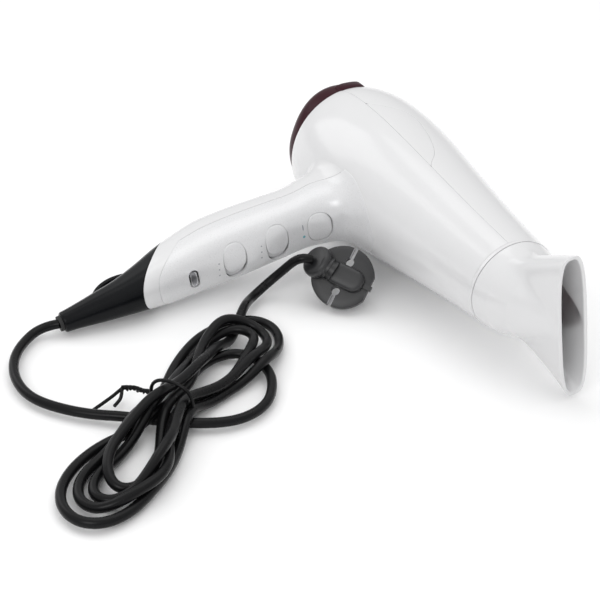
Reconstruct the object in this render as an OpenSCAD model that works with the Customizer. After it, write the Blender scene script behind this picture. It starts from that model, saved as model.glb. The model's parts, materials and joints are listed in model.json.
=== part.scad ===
// Hair dryer with a turning concentrator nozzle, lying on its left side.
// Modelled upright in its own plane, then laid down by the lay() module:
// the barrel axis is X (air leaves towards +X) and the handle runs along -Y.

/* [Barrel] */
// Largest radius of the barrel, over the fan
body_r = 46; // [40:0.5:52]
// Radius of the barrel at its rear opening
rear_r = 42; // [38:0.5:43]
// Radius of the barrel at the outlet, where the nozzle starts
outlet_r = 27.2; // [26:0.1:31]
// Length of the barrel from rear opening to outlet
barrel_len = 187; // [175:1:220]
// Wall thickness of the white shells
shell_wall = 2.2; // [1.8:0.1:3]
// How far the rear cover domes out behind the barrel
cover_depth = 22; // [16:0.5:26]

/* [Handle] */
// Distance from barrel axis to the end of the black sleeve
handle_reach = 225; // [212:1:240]
// Distance from barrel axis to the slanted seam where the black sleeve starts
sleeve_start = 160; // [154:1:168]
// Half width of the handle where the fingers close round it
grip_half = 18.7; // [17:0.1:21]
// Radius of the sleeve at its very end
sleeve_tip_r = 6; // [5:0.1:8]
// Distance of the handle line from the rear opening, along the barrel
handle_x = 50; // [46:1:60]
// Forward lean of the handle, degrees
handle_lean = 2; // [0:0.1:5]
// Wall thickness of the pearly grip panel
panel_wall = 2; // [1.6:0.1:2.6]

/* [Nozzle] */
// Length of the nozzle in front of the barrel
nozzle_len = 54; // [45:1:65]
// Long outer size of the nozzle mouth
mouth_long = 93; // [80:1:100]
// Short outer size of the nozzle mouth
mouth_short = 15; // [13:0.5:22]
// Wall thickness of the nozzle
nozzle_wall = 2.2; // [1.6:0.1:3]
// Radius of the outlet neck that the nozzle is pushed on to
neck_r = 22.5; // [21:0.1:23.5]

/* [Controls] */
// Distance from barrel axis to the cool air button
cool_y = 60; // [58:0.5:64]
// Distance between neighbouring controls along the handle
control_pitch = 28.5; // [26:0.5:29]
// Size of a switch cap along the handle
cap_long = 15; // [13:0.5:17]
// Size of a switch cap across the handle
cap_across = 19; // [16:0.5:21]
// Swing of a switch cap over its three positions, degrees
switch_swing = 18; // [12:1:20]
// Travel of the cool air button
cool_travel = 2.5; // [1.5:0.1:3]

/* [Fan and motor] */
// Radius of the motor can
motor_r = 14; // [12:0.5:16]
// Length of the motor can
motor_len = 34; // [28:1:38]
// Radius of the motor shaft
shaft_r = 1.2; // [1:0.1:1.6]
// Number of fan blades
blades = 9; // [5:1:11]
// Gap between blade tips and the duct
tip_gap = 0.8; // [0.6:0.1:1.5]

/* [Mains lead] */
// Diameter of the mains lead
cord_d = 6.4; // [6:0.1:7]

/* [Hidden] */

$fn = 96;
eps = 0.01;

fit_gap = 0.06;      // radial clearance of a running fit
part_gap = 0.3;      // clearance between pieces that only pass each other
seam_gap = 0.1;      // clearance along the panel's seams

inner_rear_r = rear_r - shell_wall;
bulge_x = 0.16 * barrel_len;
tilt = asin((body_r - sleeve_tip_r) / handle_reach);
origin_x = (barrel_len + nozzle_len - cover_depth) / 2;
reach_low = handle_reach * cos(tilt);
origin_y = (body_r - reach_low) / 2;

// ---- curves and lofts -------------------------------------------------

function bezier(a, b, c, d, t) =
    pow(1 - t, 3) * a + 3 * pow(1 - t, 2) * t * b + 3 * (1 - t) * t * t * c + pow(t, 3) * d;

// outline of the barrel as [radius, distance from the rear opening]
barrel_steps = 9;
barrel_line = concat(
    [for (i = [0 : barrel_steps]) bezier([rear_r, 0], [rear_r + 2.4, 8], [body_r, 0.6 * bulge_x],
        [body_r, bulge_x], i / barrel_steps)],
    [for (i = [1 : barrel_steps]) bezier([body_r, bulge_x], [body_r, bulge_x + 0.22 * barrel_len],
        [outlet_r + 9, 0.55 * barrel_len], [outlet_r, barrel_len], i / barrel_steps)]);

function moved(line, off) = [for (p = line) [p[0] - off, p[1]]];
function flipped(line) = [for (i = [len(line) - 1 : -1 : 0]) line[i]];

// piecewise straight reading of a table of [key, value, value ...] rows
function row_at(rows, key, i = 0) =
    i >= len(rows) - 2 || key < rows[i + 1][0]
        ? rows[i] + (rows[i + 1] - rows[i]) * (key - rows[i][0]) / (rows[i + 1][0] - rows[i][0])
        : row_at(rows, key, i + 1);

ring_sides = 40;
function power(v, n) = sign(v) * pow(abs(v), 2 / n);

// one cross-section: reach to the front and back of the line, half width to the side
function section(y, front, back, side, n, off) =
    let (mid = (front - back) / 2, half = (front + back) / 2 - off)
    [for (k = [0 : ring_sides - 1])
        let (a = 360 * k / ring_sides)
        [mid + half * power(cos(a), n), y, (side - off) * power(sin(a), n)]];

module loft(rings) {
    n = len(rings[0]);
    m = len(rings);
    points = [for (r = rings) for (p = r) p];
    sides = [for (j = [0 : m - 2]) for (k = [0 : n - 1]) each
        [[j * n + k, (j + 1) * n + k, j * n + (k + 1) % n],
         [j * n + (k + 1) % n, (j + 1) * n + k, (j + 1) * n + (k + 1) % n]]];
    caps = [[for (k = [0 : n - 1]) k], [for (k = [n - 1 : -1 : 0]) (m - 1) * n + k]];
    polyhedron(points, concat(sides, caps), convexity = 6);
}

module lay() {
    translate([-origin_x, -origin_y, body_r]) rotate([tilt, 0, 0]) children();
}
module on_handle() {
    lay() translate([handle_x, 0, 0]) rotate([0, 0, handle_lean]) children();
}
module turned(line) {
    rotate([0, 90, 0]) rotate_extrude() polygon(line);
}
module ring_x(from, to, outer, inner) {
    turned([[inner, from], [outer, from], [outer, to], [inner, to]]);
}
module rod_x(from, to, r) {
    translate([from, 0, 0]) rotate([0, 90, 0]) cylinder(h = to - from, r = r);
}
module rod_y(from, to, r) {
    translate([0, from, 0]) rotate([-90, 0, 0]) cylinder(h = to - from, r = r);
}

// ---- handle outline ----------------------------------------------------

front_x = grip_half - 1.5;     // front face of the handle, at the controls
sleeve_mid = 7.5;              // the sleeve tapers to a line this far in front of the handle line

// [distance from barrel axis, reach to the front, to the back, half width to the side, squareness]
grip = [
    [26, 50, 27, 29, 2.2],
    [38, 42, 25, 26, 2.3],
    [46, 28, 23, 22, 2.4],
    [55, front_x + 3, grip_half + 1.8, grip_half + 0.8, 2.6],
    [66, front_x + 0.2, grip_half - 1, grip_half - 0.7, 2.8],
    [84, front_x, grip_half + 0.2, grip_half - 0.4, 2.8],
    [106, front_x, grip_half + 1.9, grip_half, 2.8],
    [128, front_x, grip_half + 1.7, grip_half - 0.3, 2.8],
    [sleeve_start - 18, front_x + 0.3, grip_half - 1, grip_half - 1.5, 2.7],
    [sleeve_start - 3, front_x + 1.1, grip_half - 5.4, grip_half - 3, 2.6],
    [sleeve_start + 13, front_x + 1.4, grip_half - 11.1, grip_half - 5.6, 2.4],
    [sleeve_start + 28, front_x + 0.7, grip_half - 15.2, grip_half - 8, 2.2],
    [handle_reach - 25, sleeve_tip_r + 3.2 + sleeve_mid, sleeve_tip_r + 3.2 - sleeve_mid, sleeve_tip_r + 3.2, 2.1],
    [handle_reach - 6, sleeve_tip_r + 0.6 + sleeve_mid, sleeve_tip_r + 0.6 - sleeve_mid, sleeve_tip_r + 0.6, 2],
    [handle_reach, sleeve_tip_r + sleeve_mid, sleeve_tip_r - sleeve_mid, sleeve_tip_r, 2]];

function grip_ring(d, off = 0) =
    let (g = row_at(grip, d)) section(-d, g[1], g[2], g[3], g[4], off);

module grip_loft(from, to, off = 0) {
    inside = [for (g = grip) if (g[0] > from + 0.5 && g[0] < to - 0.5) g[0]];
    loft([for (d = concat([from], inside, [to])) grip_ring(d, off)]);
}

seam_slant = 43;
seam_span = 30;                // the seam takes up this much of the handle's length each way
panel_top = 26;
panel_gap = 10;                // white band between panel and sleeve

module past_seam(up = 0) {
    // everything beyond the slanted sleeve seam, moved up towards the barrel
    translate([0, up - sleeve_start, 0]) rotate([0, 0, -seam_slant]) translate([-80, -120, -60]) cube([160, 120, 120]);
}

module barrel_core(off) {
    turned(concat([[0, 0]], moved(barrel_line, off), [[0, barrel_len]]));
}
module to_barrel() {
    // barrel frame seen from the handle frame
    rotate([0, 0, -handle_lean]) translate([-handle_x, 0, 0]) children();
}

// ---- shells -------------------------------------------------------------

module barrel_shell() {
    turned(concat(barrel_line, flipped(moved(barrel_line, shell_wall))));
}

boss_r = 3.2;
boss_bore = 1.25;
shell_boss = [[86, 1], [86, -1], [118, 1], [118, -1]];
function inner_r_at(x) = lookup(x, [for (p = barrel_line) [p[1], p[0]]]) - shell_wall;
boss_in = 5.5;

module boss_at(x, side, from, to, r) {
    translate([x, from, side * (inner_r_at(x) - boss_in)]) rotate([-90, 0, 0]) cylinder(h = to - from, r = r);
}
module rib_at(x, side, from, to) {
    // web that joins a screw boss to the shell beside it
    out = inner_r_at(x) + shell_wall / 2;
    translate([x - 0.9, from, side > 0 ? out - boss_in - 1 : -out]) cube([1.8, to - from, boss_in + 1]);
}

module upper_shell() color("white") lay() {
    difference() {
        union() {
            intersection() {
                barrel_shell();
                translate([-eps, 0, -body_r - 1]) cube([barrel_len + 2 * eps, body_r + 2, 2 * body_r + 2]);
            }
            intersection() {
                for (b = shell_boss) {
                    boss_at(b[0], b[1], 0, 9, boss_r);
                    rib_at(b[0], b[1], 0, 9);
                }
                barrel_core(shell_wall / 2);
            }
        }
        for (b = shell_boss) boss_at(b[0], b[1], -1, 7.5, boss_bore);
    }
}

module panel_zone(clear = 0) {
    // room of the grip panel: the front half of the handle, down to the white band
    difference() {
        translate([clear, -sleeve_start - seam_span, -60]) cube([60, sleeve_start + seam_span - panel_top + 6, 120]);
        past_seam(panel_gap + clear);
        to_barrel() barrel_core(-clear);
    }
}

clamp_y = sleeve_start - 14;
clamp_x = sleeve_mid + cord_d / 2 - 0.2;
clamp_screw_z = 6.8;

module lower_shell() color("white") on_handle() {
    difference() {
        union() {
            to_barrel() intersection() {
                barrel_core(0);
                translate([0, -body_r - 1, -body_r - 1]) cube([barrel_len, body_r + 1, 2 * body_r + 2]);
            }
            grip_loft(panel_top, sleeve_start + seam_span);
        }
        past_seam();
        to_barrel() difference() {
            barrel_core(shell_wall);
            for (b = shell_boss) {
                boss_at(b[0], b[1], -9, 0, boss_r);
                rib_at(b[0], b[1], -9, 0);
            }
        }
        difference() {
            grip_loft(panel_top - 3, sleeve_start + seam_span - 2, shell_wall);
            past_seam(3);
            for (z = [-1, 1]) translate([0, -clamp_y, z * clamp_screw_z]) rod_x(-30, clamp_x, 2.8);
        }
        translate([sleeve_mid, 0, 0]) rod_y(-sleeve_start - 20, -sleeve_start + 2, 4.4);
        panel_zone();
        for (z = [-1, 1]) translate([0, -clamp_y, z * clamp_screw_z]) rod_x(clamp_x - 9, clamp_x + 1, clamp_bore);
        to_barrel() for (b = shell_boss) boss_at(b[0], b[1], -10, 1, boss_bore + 0.45);
    }
}

cap_axis = 4.4;               // hinge line of a switch cap, in front of the handle line
cap_r = front_x + 1.2 - cap_axis;
speed_y = cool_y + 2 * control_pitch;
heat_y = cool_y + control_pitch;
swing_room = cap_r * sin(switch_swing);

module oval_x(from, to, along, across, shift = 0) {
    // oval bar along X: long way across the handle
    translate([from, 0, shift]) rotate([0, 90, 0]) linear_extrude(to - from) {
        translate([-(across - along) / 2, 0]) circle(d = along);
        translate([(across - along) / 2, 0]) circle(d = along);
        square([across - along, along], center = true);
    }
}

badge_y = speed_y + 28;
badge_long = 6.2;
badge_across = 12.2;

badge_sunk = 0.8;

module grip_panel() color("whitesmoke") on_handle() {
    difference() {
        intersection() {
            grip_loft(panel_top, sleeve_start + seam_span);
            panel_zone(seam_gap);
        }
        grip_loft(panel_top - 3, sleeve_start + seam_span + 3, panel_wall);
        for (y = [speed_y, heat_y])
            translate([0, -y, 0]) oval_x(5, 40, cap_long + 0.8, cap_across + 1.2 + swing_room);
        translate([0, -cool_y, 0]) oval_x(5, 40, cap_long + 0.8, cap_across + 0.8);
        translate([0, -badge_y, 0]) oval_x(front_x - badge_sunk, 40, badge_long + 0.2, badge_across + 0.2);
    }
}

module badge_ring() color("silver") on_handle() translate([0, -badge_y, 0]) difference() {
    oval_x(front_x - badge_sunk, front_x + 1.1, badge_long, badge_across);
    oval_x(front_x - 0.2, front_x + 2, badge_long - 2, badge_across - 2);
}

loop_y = sleeve_start + 24;
loop_x = 5;
loop_out = 20;
loop_wire = 3.2;
sleeve_wall = 2.4;

module end_sleeve() color([0.1, 0.1, 0.12]) on_handle() {
    difference() {
        union() {
            intersection() {
                grip_loft(sleeve_start - 20, handle_reach);
                past_seam();
            }
            translate([loop_x, -loop_y, 0]) difference() {
                translate([0, 0, -loop_wire / 2]) cylinder(h = loop_wire, r = loop_out);
                translate([0, 0, -3]) cylinder(h = 6, r = loop_out - loop_wire);
                translate([-3, -30, -5]) cube([60, 60, 10]);
            }
        }
        grip_loft(sleeve_start - 22, handle_reach - 30, sleeve_wall);
        translate([sleeve_mid, 0, 0]) rod_y(-handle_reach - 1, -handle_reach + 32, bush_r);
    }
}

// ---- rear intake ----------------------------------------------------------

cover_skirt_r = inner_rear_r - part_gap;
cover_wall = 2;
cover_square = 2.6;            // 2 is an ellipse, more is squarer
slot_rings = 4;
function dome(off) = [for (i = [0 : 10]) let (a = 9 * i)
    [(rear_r - part_gap - off) * power(sin(a), cover_square), -(cover_depth - off) * power(cos(a), cover_square)]];

module rear_cover() color([0.24, 0.12, 0.15]) lay() difference() {
    union() {
        turned(concat(dome(0), [[cover_skirt_r, 0], [cover_skirt_r, 7], [cover_skirt_r - cover_wall, 7],
            [cover_skirt_r - cover_wall, 0]], flipped(dome(cover_wall))));
        translate([-7, rear_r - 1.8, 0]) rotate([0, 90, 0]) cylinder(h = 6, r = 2.6);
    }
    for (k = [0 : slot_rings - 1], i = [0 : 9 + 5 * k])
        rotate([360 * i / (10 + 5 * k), 0, 0]) translate([-cover_depth - 1, -1.1, 7 + 7.5 * k])
            cube([cover_depth - 2, 2.2, 5.4]);
}

filter_x = 1.2;
filter_r = cover_skirt_r - cover_wall - 0.4;
module dust_filter() color("dimgray") lay() {
    ring_x(filter_x, filter_x + 3, filter_r, filter_r - 2);
    for (r = [6 : 6 : filter_r - 4]) ring_x(filter_x, filter_x + 1, r, r - 0.8);
    for (i = [0 : 7]) rotate([45 * i, 0, 0])
        translate([filter_x, -0.5, 3]) cube([1.2, 1, filter_r - 4]);
    rod_x(filter_x, filter_x + 1.2, 3.6);
}

// ---- fan, motor and duct -----------------------------------------------------

duct_from = 18;
duct_to = 72;
duct_r = 36;
duct_wall = 1.8;
fan_from = 24;
fan_len = 15;
fan_hub_r = 11;
motor_from = 44;
motor_to = motor_from + motor_len;
duct_inner = duct_r - duct_wall;
cup_r = motor_r + 1.6;
duct_end_r = neck_r + 4.4;
duct_taper = 20;

module air_duct() color("gray") lay() {
    ring_x(duct_from, duct_to, duct_r, duct_inner);
    turned([[duct_inner, duct_to - 2], [duct_r, duct_to - 2], [duct_end_r, duct_to + duct_taper],
        [duct_end_r - duct_wall, duct_to + duct_taper]]);
}

damper_ring = 4;
module duct_damper() color([0.15, 0.15, 0.15]) lay() for (x = [28, 64]) difference() {
    ring_x(x, x + damper_ring, inner_r_at(x) - 0.8, duct_r + 0.05);
    // way through for the heater's leads
    translate([x - 1, -body_r, -lead_apart - wire_r - 0.4])
        cube([damper_ring + 2, body_r - duct_r / 2, 2 * (lead_apart + wire_r + 0.4)]);
}

module fan() color("ivory") lay() {
    difference() {
        union() {
            rod_x(fan_from, fan_from + fan_len, fan_hub_r);
            turned(concat([[0, fan_from + 1]], [for (i = [0 : 6]) let (a = 15 * i)
                [fan_hub_r * sin(a), fan_from - 5 * cos(a)]], [[fan_hub_r, fan_from + 1]]));
            intersection() {
                for (i = [0 : blades - 1]) rotate([360 * i / blades, 0, 0])
                    translate([fan_from + fan_len / 2, 0, fan_hub_r - 1.5]) rotate([0, 0, 38])
                        translate([-fan_len * 0.62, -0.8, 0]) cube([fan_len * 1.24, 1.6, duct_r]);
                rod_x(fan_from + 0.5, fan_from + fan_len - 0.5, duct_inner - tip_gap);
            }
        }
        rod_x(fan_from - 2, fan_from + fan_len + 1, shaft_r);
        ring_x(fan_from + 5, fan_from + fan_len + 1, fan_hub_r - 1.8, 3.4);
    }
}

module motor_shaft() color("silver") lay() rod_x(fan_from - 2, motor_to + 5, shaft_r);

bearing_r = 4;
module motor_bearings() color("goldenrod") lay() {
    ring_x(motor_from - 2.5, motor_from + 1.5, bearing_r, shaft_r + fit_gap);
    ring_x(motor_to - 1.5, motor_to + 2.5, bearing_r, shaft_r + fit_gap);
}

module motor_can() color("lightgray") lay() {
    difference() {
        rod_x(motor_from, motor_to, motor_r);
        rod_x(motor_from + 1.5, motor_to - 1.5, motor_r - 1.2);
        rod_x(motor_from - 1, motor_from + 2, bearing_r);
        rod_x(motor_to - 2, motor_to + 1, bearing_r);
    }
}

module motor_magnets() color([0.2, 0.2, 0.22]) lay() difference() {
    ring_x(motor_from + 4, motor_to - 4, motor_r - 1.2, motor_r - 4.4);
    for (z = [-1, 1]) translate([motor_from, -20, z * motor_r - 4]) cube([motor_len, 40, 8]);
}

vane_count = 7;
module motor_mount() color("gainsboro") lay() {
    ring_x(motor_from - 1, motor_from + 22, cup_r, motor_r);
    ring_x(motor_from - 1, motor_from + 22, duct_inner, duct_inner - 1.6);
    for (i = [0 : vane_count - 1]) rotate([360 * i / vane_count, 0, 0])
        translate([motor_from + 10, 0, cup_r - 0.8]) rotate([0, 0, -18])
            translate([-10, -0.7, 0]) cube([20, 1.4, duct_inner - cup_r - 0.4]);
}

module diode_bridge() color([0.12, 0.12, 0.12]) lay() {
    difference() {
        rod_x(motor_to + 2.6, motor_to + 4, motor_r - 1);
        rod_x(motor_to + 2, motor_to + 5, shaft_r + 1);
    }
    for (i = [0 : 3]) rotate([45 + 90 * i, 0, 0]) translate([motor_to + 3.8, -1.4, 6]) cube([5, 2.8, 3]);
}

// ---- heater ---------------------------------------------------------------------

heat_from = duct_to + duct_taper + 8;
heat_to = barrel_len - 12;
mica_r = neck_r + 1.2;
cross_r = 17;
coil_r = cross_r + 1.1;
coil_wire = 0.8;

module mica_tube() color("tan") lay() ring_x(heat_from - 4, heat_to, mica_r, mica_r - 0.5);

module mica_cross() color("wheat") lay() for (a = [0, 90]) rotate([a, 0, 0]) {
    translate([heat_from, -0.5, -cross_r]) cube([heat_to - heat_from - 4, 1, 2 * cross_r]);
    for (x = [heat_from, heat_to - 8])
        translate([x, -0.5, -mica_r + 0.8]) cube([4, 1, 2 * mica_r - 1.6]);
}

coil_turns = 12;
module heater_coils() color("dimgray") lay() {
    pitch = (heat_to - heat_from - 24) / coil_turns;
    for (i = [0 : coil_turns]) translate([heat_from + 8 + i * pitch, 0, 0])
        rotate([0, 90, 0]) rotate_extrude() translate([coil_r, 0]) circle(r = coil_wire, $fn = 16);
    for (a = [45, 225]) rotate([a, 0, 0]) translate([heat_from + 8, 0, coil_r]) rotate([0, 90, 0])
        cylinder(h = coil_turns * pitch, r = 0.6, $fn = 16);
}

module thermostat() color("saddlebrown") lay()
    translate([heat_from + 46, 3, 3]) cube([14, 8, 5]);

module thermal_fuse() color("lightsteelblue") lay()
    translate([heat_from + 30, -6, 6]) rotate([0, 90, 0]) cylinder(h = 10, r = 1.8);

// ---- outlet and nozzle ------------------------------------------------------------

neck_out = 14;
neck_wall = 1.8;
module outlet_neck() color([0.35, 0.14, 0.2]) lay() {
    ring_x(barrel_len - 10, barrel_len + neck_out, neck_r, neck_r - neck_wall);
    ring_x(barrel_len - 10, barrel_len - 7, inner_r_at(barrel_len - 7) - 0.1, neck_r);
}

module outlet_grille() color([0.45, 0.2, 0.28]) lay() {
    grille_x = barrel_len + 6;
    grille_r = neck_r - neck_wall;
    ring_x(grille_x, grille_x + 4, grille_r, grille_r - 1.6);
    for (r = [5, 10, 15]) ring_x(grille_x + 1, grille_x + 3, r, r - 1.2);
    for (i = [0 : 5]) rotate([60 * i, 0, 0])
        translate([grille_x + 1, -0.6, 2.5]) cube([2, 1.2, grille_r - 3]);
    rod_x(grille_x + 1, grille_x + 3, 3);
}

ring_len = 2.2;
nozzle_from = barrel_len + part_gap + ring_len + part_gap;
nozzle_to = barrel_len + nozzle_len;
mouth_half = mouth_long / 2;
mouth_thin = mouth_short / 2;

module nozzle_ring() color("silver") lay()
    ring_x(barrel_len + part_gap, barrel_len + part_gap + ring_len, outlet_r + 0.2, neck_r + fit_gap);

mouth_rise = 3.5;              // the mouth's middle sits this far off the barrel axis

// [share of nozzle length, half size across, half size up, squareness, rise]
nozzle_rows = [
    [0, outlet_r, outlet_r, 2, 0],
    [0.12, outlet_r + 0.2, outlet_r - 0.4, 2, 0],
    [0.35, outlet_r + 3, outlet_r - 4.5, 2.2, 0.6],
    [0.6, mouth_half - 10, mouth_thin + 7, 2.5, 2],
    [0.85, mouth_half - 3, mouth_thin + 1.4, 2.8, mouth_rise - 0.3],
    [1, mouth_half, mouth_thin, 3, mouth_rise]];

module nozzle_loft(from, to, off) {
    span = nozzle_to - nozzle_from;
    rotate([0, 0, 90]) loft([for (s = [from : (to - from) / 10 : to + 0.001])
        let (g = row_at(nozzle_rows, min(max(s, 0), 1)))
        section(-(nozzle_from + s * span), g[2] + g[4], g[2] - g[4], g[1], g[3], off)]);
}

module nozzle() color("white") lay() difference() {
    nozzle_loft(0, 1, 0);
    rod_x(nozzle_from - 1, barrel_len + neck_out + part_gap, neck_r + fit_gap);
    intersection() {
        nozzle_loft(0.2, 1.06, nozzle_wall);
        translate([barrel_len + neck_out, -60, -60]) cube([nozzle_len, 120, 120]);
    }
}

// ---- controls in the handle --------------------------------------------------------

board_x = 0;
board_t = 1.6;
body_x = board_x + board_t;

module switch_board() color("darkgreen") on_handle()
    translate([board_x, -speed_y - 10, -12]) cube([board_t, speed_y - cool_y + 20, 24]);

module cap(y) {
    // rounded cap that swings about a line along the handle
    translate([0, -y, 0]) intersection() {
        translate([cap_axis, 0, 0]) rod_y(-cap_long, cap_long, cap_r);
        oval_x(cap_axis + 5, 40, cap_long, cap_across);
    }
    translate([cap_axis + 3.4, -y - 2, -2.5]) cube([2, 4, 5]);
}

module swung_back() {
    // rest position: swung to the off end of the slot
    translate([cap_axis, 0, 0]) rotate([0, -switch_swing / 2, 0]) translate([-cap_axis, 0, 0]) children();
}

module switch_body(y) {
    translate([body_x, -y - 6, -6]) cube([cap_axis + 2.6 - body_x, 12, 12]);
}

module speed_cap() color("white") on_handle() swung_back() cap(speed_y);
module heat_cap() color("white") on_handle() swung_back() cap(heat_y);
module speed_switch() color("black") on_handle() switch_body(speed_y);
module heat_switch() color("black") on_handle() switch_body(heat_y);

cool_base = 6.4;
module cool_button() color("white") on_handle() translate([0, -cool_y, 0]) {
    oval_x(front_x - 4, front_x + 1, cap_long, cap_across);
    rod_x(cool_base + cool_travel + 0.6, front_x - 3, 1.6);
}

module cool_spring() color("silver") on_handle() translate([0, -cool_y, 0])
    for (i = [0 : 3]) translate([cool_base + 0.8 + 1.75 * i, 0, 0]) rotate([0, 90, 0])
        rotate_extrude() translate([3.2, 0]) circle(r = 0.35, $fn = 16);

module cool_switch() color("black") on_handle()
    translate([body_x, -cool_y - 6, -6]) cube([cool_base - body_x, 12, 12]);

module noise_filter() color("royalblue") on_handle()
    translate([-10.5, -heat_y - 15, -7]) cube([10, 18, 14]);

// ---- supply ---------------------------------------------------------------------------

bush_r = 4.6;
bush_in = 30;
clamp_wide = 9.6;
clamp_thick = 2.4;
clamp_bore = 1.3;
lead_end = clamp_y - 8;        // where the outer sheath stops inside the handle
wire_r = 1.1;

module rod_between(a, b, r) {
    d = b - a;
    translate(a) rotate([0, acos(d[2] / norm(d)), atan2(d[1], d[0])]) cylinder(h = norm(d), r = r, $fn = 24);
}

module cord_bush() color([0.08, 0.08, 0.08]) on_handle() translate([sleeve_mid, 0, 0]) difference() {
    union() {
        rod_y(-handle_reach - 2, -handle_reach + bush_in, bush_r);
        rod_y(-handle_reach + bush_in, -handle_reach + bush_in + 3, bush_r + 1.6);
    }
    rod_y(-handle_reach - 3, -handle_reach + bush_in + 4, cord_d / 2);
}

module inner_lead() color([0.12, 0.12, 0.13]) on_handle()
    translate([sleeve_mid, 0, 0]) rod_y(-handle_reach - 2, -lead_end, cord_d / 2);

module cord_clamp() color("ivory") on_handle() difference() {
    translate([clamp_x, -clamp_y - 4, -clamp_wide]) cube([clamp_thick, 8, 2 * clamp_wide]);
    for (z = [-1, 1]) translate([0, -clamp_y, z * clamp_screw_z]) rod_x(clamp_x - 1, clamp_x + 5, clamp_bore);
}

module clamp_screws() color("silver") on_handle()
    for (z = [-1, 1]) translate([clamp_x + clamp_thick, -clamp_y, z * clamp_screw_z]) {
        rod_x(0, 1.2, 2.4);
        rod_x(-9, 0.1, clamp_bore);
    }

module shell_screws() color("silver") lay() for (b = shell_boss)
    translate([b[0], 0, b[1] * (inner_r_at(b[0]) - boss_in)]) {
        rod_y(-9, 6, boss_bore);
        rod_y(-10.6, -9, 2.4);
    }

module supply_leads() color("sienna") on_handle() for (z = [-1, 1])
    rod_between([sleeve_mid - 1, -lead_end + 0.4, 1.5 * z], [body_x + wire_r, -speed_y - 4, 9 * z], wire_r);

wire_y = duct_r + 1.5;
lead_apart = 5;     // each heater lead's distance from the middle
module heater_leads() color("firebrick") on_handle() for (z = [-lead_apart, lead_apart]) {
    translate([-wire_r, 0, z]) rod_y(-heat_y + 3.6, -wire_y, wire_r);
    to_barrel() {
        rod_between([handle_x, -wire_y, z], [duct_to + 4, -wire_y, z], wire_r);
        rod_between([duct_to + 4, -wire_y, z], [heat_from - 3, -mica_r - wire_r - 0.5, z], wire_r);
    }
}

// ---- mains lead, lying on the surface ------------------------------------------------------

// middle line of the lead from the bush to the hank, and from the hank to the plug
lead_in_route = [
    [-44, -135, 6], [-46, -145, 4.2], [-42, -154, 3.3], [-34, -163, 3.3], [-23, -170, 3.3], [-10, -174, 3.3],
    [4, -175, 3.3], [17, -172, 3.3], [28, -164, 3.3], [38, -154, 3.3], [46, -143, 3.3], [54, -132, 3.3],
    [62, -120, 3.3], [70, -107, 3.3], [77, -93, 3.3], [80, -79, 3.3], [77, -65, 3.3], [68, -54, 3.3],
    [55, -47, 3.3], [46, -44, 3.3], [37, -44, 3.3]];
lead_out_route = [
    [-24, 13, 23], [-31, 8, 18], [-34, 0, 13], [-33, -9, 9], [-29, -18, 6], [-23, -26, 4],
    [-17, -34, 3.3], [-10, -42, 3.3], [-4, -51, 3.3], [2, -59, 3.3]];

function unit(v) = v / norm(v);
function tangent(p, i) = unit(p[min(i + 1, len(p) - 1)] - p[max(i - 1, 0)]);
function hoop(c, t, r, sides) =
    let (a = unit(cross(t, [0, 0, 1])), b = cross(a, t))
    [for (k = [0 : sides - 1]) c + r * (cos(360 * k / sides) * a + sin(360 * k / sides) * b)];

module cord_tube(route, r) {
    loft([for (i = [0 : len(route) - 1]) hoop(route[i], tangent(route, i), r, 8)]);
}

tie_at = [57, -109];
lower_end = [113, -166];
upper_end = [18, -46];
lower_r = 24;
upper_r = 21;
waist = 26;
hank_high = 2 * cord_d;
waist_high = 3 * cord_d;
waist_wide = waist + 1.8;

module drop(end, r) {
    d = unit(end - tie_at);
    side = [-d[1], d[0]];
    translate(end) circle(r = r);
    across = r - 0.6;
    polygon([tie_at + side * waist / 2, end + side * across, end - side * across, tie_at - side * waist / 2]);
}

bundle_turn = atan2(lower_end[1] - upper_end[1], lower_end[0] - upper_end[0]);

module cord_hank() color([0.12, 0.12, 0.13]) {
    linear_extrude(hank_high) {
        drop(lower_end, lower_r);
        drop(upper_end, upper_r);
    }
    translate(tie_at) rotate([0, 0, bundle_turn]) translate([-12, -waist_wide / 2, 0])
        cube([24, waist_wide, waist_high]);
}

module cord_lead_in() color([0.12, 0.12, 0.13]) cord_tube(lead_in_route, cord_d / 2);
module cord_lead_out() color([0.12, 0.12, 0.13]) cord_tube(lead_out_route, cord_d / 2);

tie_wire = 2;
module twist_tie() color("black") {
    translate(tie_at) rotate([0, 0, bundle_turn]) difference() {
        translate([-tie_wire / 2, -waist_wide / 2 - tie_wire, 0])
            cube([tie_wire, waist_wide + 2 * tie_wire, waist_high + tie_wire]);
        translate([-tie_wire, -waist_wide / 2, -1]) cube([2 * tie_wire, waist_wide, waist_high + 1]);
    }
    translate([46, -119, 7]) rotate([0, 90, 206]) cylinder(h = 22, r = 1.6);
}

// ---- plug, resting on its rim and pins ----------------------------------------------------------

plug_r = 19;
plug_thick = 10;
pin_r = 2.4;
pin_len = 19;
pin_pitch = 19;
plug_lean = 48;
plug_turn = 52;
plug_spin = -18;
plug_at = [-10, 31];
boot_turn = 174;
boot_len = 34;

module on_plug() {
    translate([plug_at[0], plug_at[1], plug_r * sin(plug_lean) + 0.6])
        rotate([0, 0, plug_turn]) rotate([plug_lean, 0, 0]) rotate([0, 0, plug_spin]) children();
}

pin_root_r = pin_r - 0.4;      // the part of each pin held inside the plug

module plug_base() color([0.25, 0.25, 0.27]) on_plug() difference() {
    union() {
        cylinder(h = plug_thick, r = plug_r);
        translate([0, 0, plug_thick - 1]) rotate_extrude() polygon([[0, 0], [15.5, 0], [14.5, 4], [11, 9], [0, 11]]);
    }
    for (s = [-1, 1]) translate([-2.8, s * plug_r - 3.2, -1]) cube([5.6, 6.4, plug_thick + 2]);
    for (s = [-1, 1]) translate([s * pin_pitch / 2, 0, -1]) cylinder(h = 9, r = pin_root_r);
}

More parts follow.
